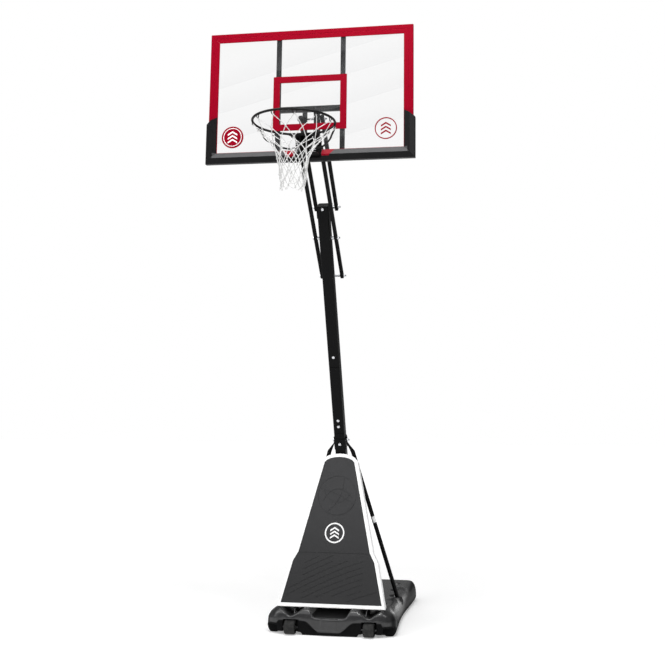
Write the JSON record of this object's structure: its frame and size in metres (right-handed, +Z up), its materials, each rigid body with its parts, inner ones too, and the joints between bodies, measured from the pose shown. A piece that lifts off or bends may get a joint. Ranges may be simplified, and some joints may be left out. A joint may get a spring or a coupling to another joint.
{
  "type": "basketball_stand",
  "caption": "Portable basketball stand: water-filled tank base on wheels, leaning square pole, clear board on parallel lift arms, sprung rim and net",
  "frame": {"origin": "on the floor under the middle of the tank base", "axes": "x across the board to the right as a player sees it, y from the rim to the back of the base, z up"},
  "size_m": [1.29, 2.6398, 3.757],
  "materials": {
    "tank_plastic": "blow-moulded polyethylene with a fine grain",
    "black_paint": "satin powder coat on steel tube",
    "zinc": "bright zinc plate",
    "white_shell": "smooth moulded shell",
    "grey_panel": "grained sheet with pressed grooves",
    "black_plastic": "fine moulded grain",
    "rubber": "matt moulded rubber",
    "clear_sheet": "clear polished acrylic with printed target lines",
    "red_trim": "satin red edging",
    "bumper_pad": "moulded foam with a lightly grained skin",
    "rim_paint": "powder coat on solid steel rod",
    "net_cord": "braided polyester cord"
  },
  "bodies": {
    "stand": {"base_tank": "tank_plastic", "wheel_axle": "zinc", "pole_lower": "black_paint", "pole_middle": "black_paint", "pole_upper": "black_paint", "pole_cap": "black_plastic", "pole_bolt_upper": "zinc", "pole_bolt_lower_a": "zinc", "pole_bolt_lower_b": "zinc", "foot_collar": "black_paint", "foot_bolt": "zinc", "stay_clamp": "black_paint", "stay_clamp_bolt": "zinc", "stay_bolt": "zinc", "stay_left": "black_paint", "stay_right": "black_paint", "shroud_shell": "white_shell", "shroud_panel": "grey_panel", "top_bracket": "black_paint", "top_bracket_bolt": "zinc", "lift_bolt": "zinc", "upper_bolt": "zinc", "lock_guide": "black_paint"},
    "filler": {"filler_plug": "black_plastic"},
    "left_wheel": {"wheel_left": "rubber"},
    "right_wheel": {"wheel_right": "rubber"},
    "lift_arms": {"long_arm_left": "black_paint", "long_arm_right": "black_paint", "tail_bolt": "zinc"},
    "upper_arms": {"short_arm_left": "black_paint", "short_arm_right": "black_paint"},
    "lock": {"lock_bar": "zinc", "lock_grip": "rubber"},
    "board": {"acrylic_sheet": "clear_sheet", "trim_left": "red_trim", "trim_right": "red_trim", "trim_top": "red_trim", "trim_bottom": "red_trim", "frame_left": "black_paint", "frame_right": "black_paint", "frame_top": "black_paint", "frame_bottom": "black_paint", "upright_left": "black_paint", "upright_right": "black_paint", "crossbar": "black_paint", "hinge_plate_left": "black_paint", "hinge_plate_right": "black_paint", "board_bolt_lower": "zinc", "board_bolt_upper": "zinc", "bumper_left": "bumper_pad", "bumper_right": "bumper_pad", "bumper_centre": "bumper_pad", "rim_plate": "rim_paint", "rim_hinge_bolt": "rim_paint", "spring_left": "zinc", "spring_right": "zinc"},
    "hoop": {"rim": "rim_paint", "net": "net_cord"}
  },
  "joints": [
    {"name": "lift", "type": "hinge", "parent": "stand", "child": "lift_arms", "pos_m": [0, -0.88003, 2.55502], "axis": [1, 0, 0], "range_deg": [0, 73.35]},
    {"name": "upper_arm_swing", "type": "hinge", "parent": "stand", "child": "upper_arms", "pos_m": [0, -0.88003, 2.76002], "axis": [1, 0, 0], "range_deg": [0, 73.35]},
    {"name": "board_tilt", "type": "hinge", "parent": "lift_arms", "child": "board", "pos_m": [0, -1.3399, 3.003], "axis": [1, 0, 0], "range_deg": [-73.35, 0]},
    {"name": "lock_swing", "type": "hinge", "parent": "lift_arms", "child": "lock", "pos_m": [0, -0.65726, 2.33801], "axis": [1, 0, 0], "range_deg": [-84.76, 0]},
    {"name": "rim_flex", "type": "hinge", "parent": "board", "child": "hoop", "pos_m": [0, -1.4359, 3.054], "axis": [1, 0, 0], "range_deg": [0, 15], "stiffness_Nm_per_rad": 700, "springref_deg": -2.86, "deforming": ["spring_left", "spring_right"]},
    {"name": "left_wheel_spin", "type": "hinge", "parent": "stand", "child": "left_wheel", "pos_m": [-0.259, -0.6, 0.0465], "axis": [1, 0, 0], "continuous": true},
    {"name": "right_wheel_spin", "type": "hinge", "parent": "stand", "child": "right_wheel", "pos_m": [0.259, -0.6, 0.0465], "axis": [1, 0, 0], "continuous": true},
    {"name": "filler_pull", "type": "slide", "parent": "stand", "child": "filler", "axis": [0, 0, 1], "range_m": [0, 0.03]}
  ],
  "couplings": [
    {"joint": "upper_arm_swing", "follows": "lift", "ratio": 1},
    {"joint": "board_tilt", "follows": "lift", "ratio": -1},
    {"joint": "lock_swing", "follows": "lift", "ratio": -1.1556}
  ]
}
